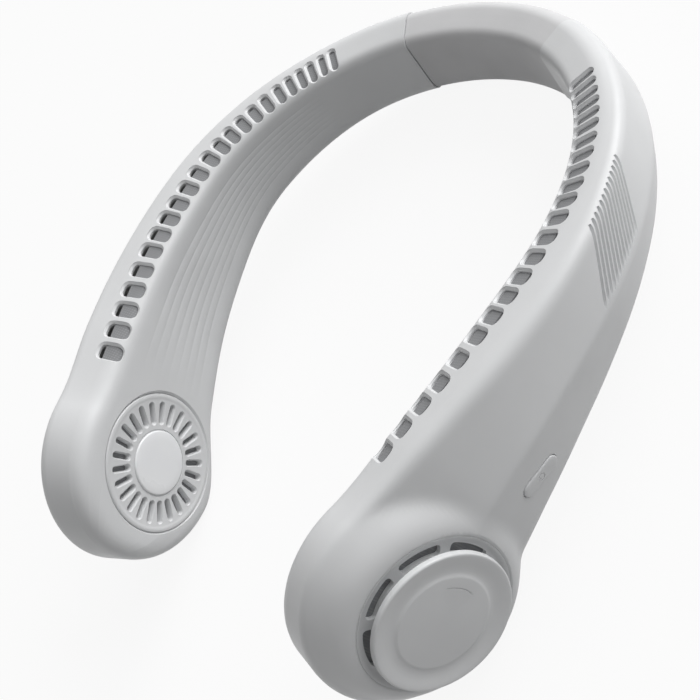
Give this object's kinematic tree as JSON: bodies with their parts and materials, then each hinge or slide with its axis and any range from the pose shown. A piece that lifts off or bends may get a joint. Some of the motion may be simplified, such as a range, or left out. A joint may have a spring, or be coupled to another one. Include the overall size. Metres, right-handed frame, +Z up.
{
  "type": "electric neck fan",
  "caption": "Wearable electric fan for the neck: hollow curved arms with rows of air vents, fan pods with grilles and round intake caps, a flexible band behind, a power button",
  "frame": {"origin": "middle of the bounding box in plan, on the surface it lies on", "axes": "+Z up as it lies on a table, +Y towards the band behind the neck, +X towards the wearer's right arm of the fan with the button"},
  "size_m": [0.2002, 0.221, 0.0674],
  "materials": {
    "casing": "satin moulded ABS, very light grey",
    "band": "matte silicone, light grey",
    "disc": "smooth label-less disc, pale grey",
    "button": "satin moulded ABS",
    "dark_plastic": "black moulded plastic",
    "inner_plastic": "natural moulded plastic",
    "wheel_plastic": "grey moulded plastic",
    "steel": "bright steel",
    "core_steel": "stamped core plates",
    "magnet": "moulded ferrite",
    "copper": "enamelled copper wire",
    "bronze": "sintered bronze",
    "battery_wrap": "shrink sleeve, blue",
    "board": "green solder mask",
    "ribbon": "flat cable insulation, red"
  },
  "bodies": {
    "band": {"band_center": "band", "band_clip": "dark_plastic", "left_band_sleeve": "band", "left_band_spring": "steel", "left_band_ribbon": "ribbon", "right_band_sleeve": "band", "right_band_spring": "steel", "right_band_ribbon": "ribbon"},
    "left_arm": {"left_inner_shell": "casing", "left_outer_shell": "casing", "left_band_plug": "dark_plastic", "left_duct_floor": "inner_plastic", "left_scroll": "inner_plastic", "left_grille": "casing", "left_grille_disc": "disc", "left_intake_bezel": "casing", "left_cap": "casing", "left_bearing": "bronze", "left_stator": "core_steel", "left_coils": "copper", "left_motor_base": "dark_plastic", "left_motor_screws": "steel", "left_battery": "battery_wrap"},
    "left_fan": {"left_fan_wheel": "wheel_plastic", "left_rotor_cup": "steel", "left_magnet_ring": "magnet", "left_shaft": "steel"},
    "right_arm": {"right_inner_shell": "casing", "right_outer_shell": "casing", "right_band_plug": "dark_plastic", "right_duct_floor": "inner_plastic", "right_scroll": "inner_plastic", "right_grille": "casing", "right_grille_disc": "disc", "right_intake_bezel": "casing", "right_cap": "casing", "right_bearing": "bronze", "right_stator": "core_steel", "right_coils": "copper", "right_motor_base": "dark_plastic", "right_motor_screws": "steel", "right_battery": "battery_wrap", "circuit_board": "board", "charging_socket": "steel", "socket_tongue": "dark_plastic", "switch_body": "steel", "board_posts": "casing"},
    "right_fan": {"right_fan_wheel": "wheel_plastic", "right_rotor_cup": "steel", "right_magnet_ring": "magnet", "right_shaft": "steel"},
    "button": {"power_button": "button", "switch_plunger": "dark_plastic"}
  },
  "joints": [
    {"name": "left_flex", "type": "hinge", "parent": "band", "child": "left_arm", "pos_m": [-0.02331, 0.09778, 0.01305], "axis": [0, -0.2646, -0.9643], "range_deg": [-8, 25], "stiffness_Nm_per_rad": 0.8, "deforming": ["left_band_sleeve", "left_band_spring", "left_band_ribbon"]},
    {"name": "left_fan_spin", "type": "hinge", "parent": "left_arm", "child": "left_fan", "pos_m": [-0.06923, -0.07515, 0.03044], "axis": [-0.9605, -0.2685, 0.0737], "continuous": true},
    {"name": "right_flex", "type": "hinge", "parent": "band", "child": "right_arm", "pos_m": [0.02331, 0.09778, 0.01305], "axis": [0, 0.2646, 0.9643], "range_deg": [-8, 25], "stiffness_Nm_per_rad": 0.8, "deforming": ["right_band_sleeve", "right_band_spring", "right_band_ribbon"]},
    {"name": "right_fan_spin", "type": "hinge", "parent": "right_arm", "child": "right_fan", "pos_m": [0.06923, -0.07515, 0.03044], "axis": [0.9605, -0.2685, 0.0737], "continuous": true},
    {"name": "button_press", "type": "slide", "parent": "right_arm", "child": "button", "axis": [-0.9758, 0.1541, 0.1549], "range_m": [0, 0.0005], "stiffness_N_per_m": 2000}
  ]
}
